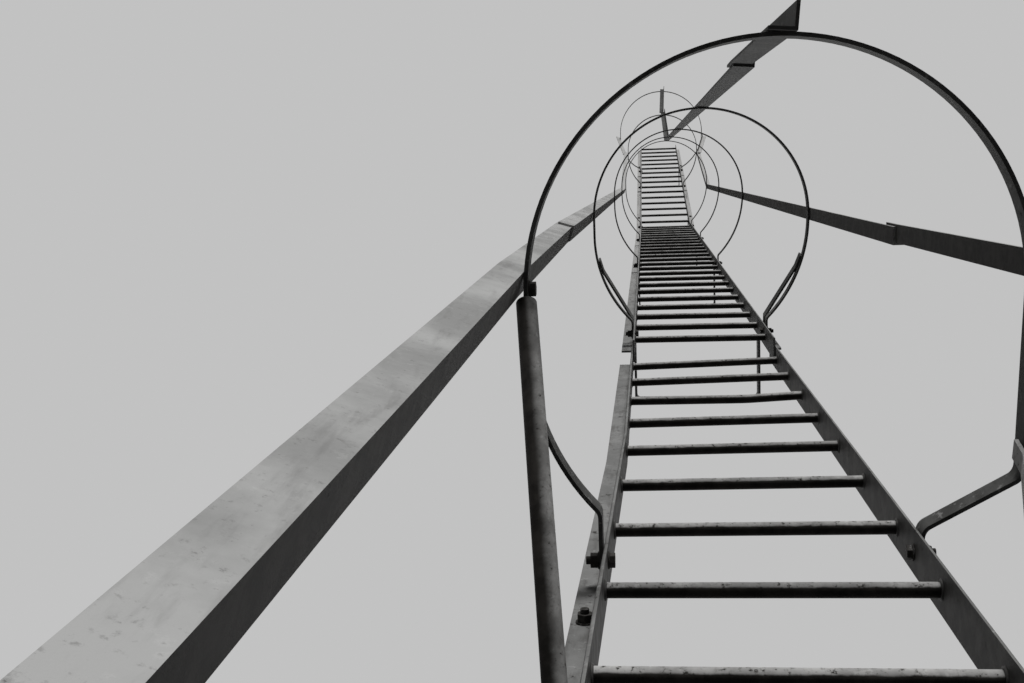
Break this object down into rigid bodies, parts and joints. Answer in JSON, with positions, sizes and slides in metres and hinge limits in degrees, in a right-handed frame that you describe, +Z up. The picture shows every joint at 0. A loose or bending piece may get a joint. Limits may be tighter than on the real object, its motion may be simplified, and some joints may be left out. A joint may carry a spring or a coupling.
{
  "type": "caged ladder",
  "caption": "Steel ladder with a safety cage that leans with a sloping leg, then stands upright above a kink, on brackets that bolt to a flat face.",
  "frame": {"origin": "middle of the flat back face of the lower bracket on the upright run", "axes": "+X to the right of a climber who faces the rungs, +Y from the climber through the rungs to the structure, +Z up the upright run"},
  "size_m": [0.9858, 2.4791, 17.3361],
  "materials": {
    "rail_steel": "weathered grey paint with rust",
    "rung_steel": "grey paint worn on the treads",
    "hoop_steel": "weathered grey paint with rust",
    "strap_steel": "weathered grey paint with rust",
    "bracket_steel": "weathered grey paint with rust"
  },
  "bodies": {
    "root": {"bent_rung": "rung_steel", "bracket_1": "bracket_steel", "bracket_2": "bracket_steel", "bracket_3": "bracket_steel", "bracket_4": "bracket_steel", "bracket_5": "bracket_steel", "bracket_6": "bracket_steel", "hoop_1": "hoop_steel", "hoop_2": "hoop_steel", "hoop_3": "hoop_steel", "hoop_4": "hoop_steel", "hoop_5": "hoop_steel", "hoop_6": "hoop_steel", "hoop_7": "hoop_steel", "lower_back_strap": "strap_steel", "lower_left_rail": "rail_steel", "lower_left_stay": "hoop_steel", "lower_left_strap": "strap_steel", "lower_right_rail": "rail_steel", "lower_right_stay": "hoop_steel", "lower_right_strap": "strap_steel", "lower_rungs": "rung_steel", "middle_back_strap": "strap_steel", "middle_left_rail": "rail_steel", "middle_left_strap": "strap_steel", "middle_right_rail": "rail_steel", "middle_right_strap": "strap_steel", "middle_rungs": "rung_steel", "top_back_strap": "strap_steel", "top_left_strap": "strap_steel", "top_right_strap": "strap_steel", "upper_back_strap": "strap_steel", "upper_left_rail": "rail_steel", "upper_left_stay": "hoop_steel", "upper_left_strap": "strap_steel", "upper_right_rail": "rail_steel", "upper_right_stay": "hoop_steel", "upper_right_strap": "strap_steel", "upper_rungs": "rung_steel"}
  },
  "joints": []
}
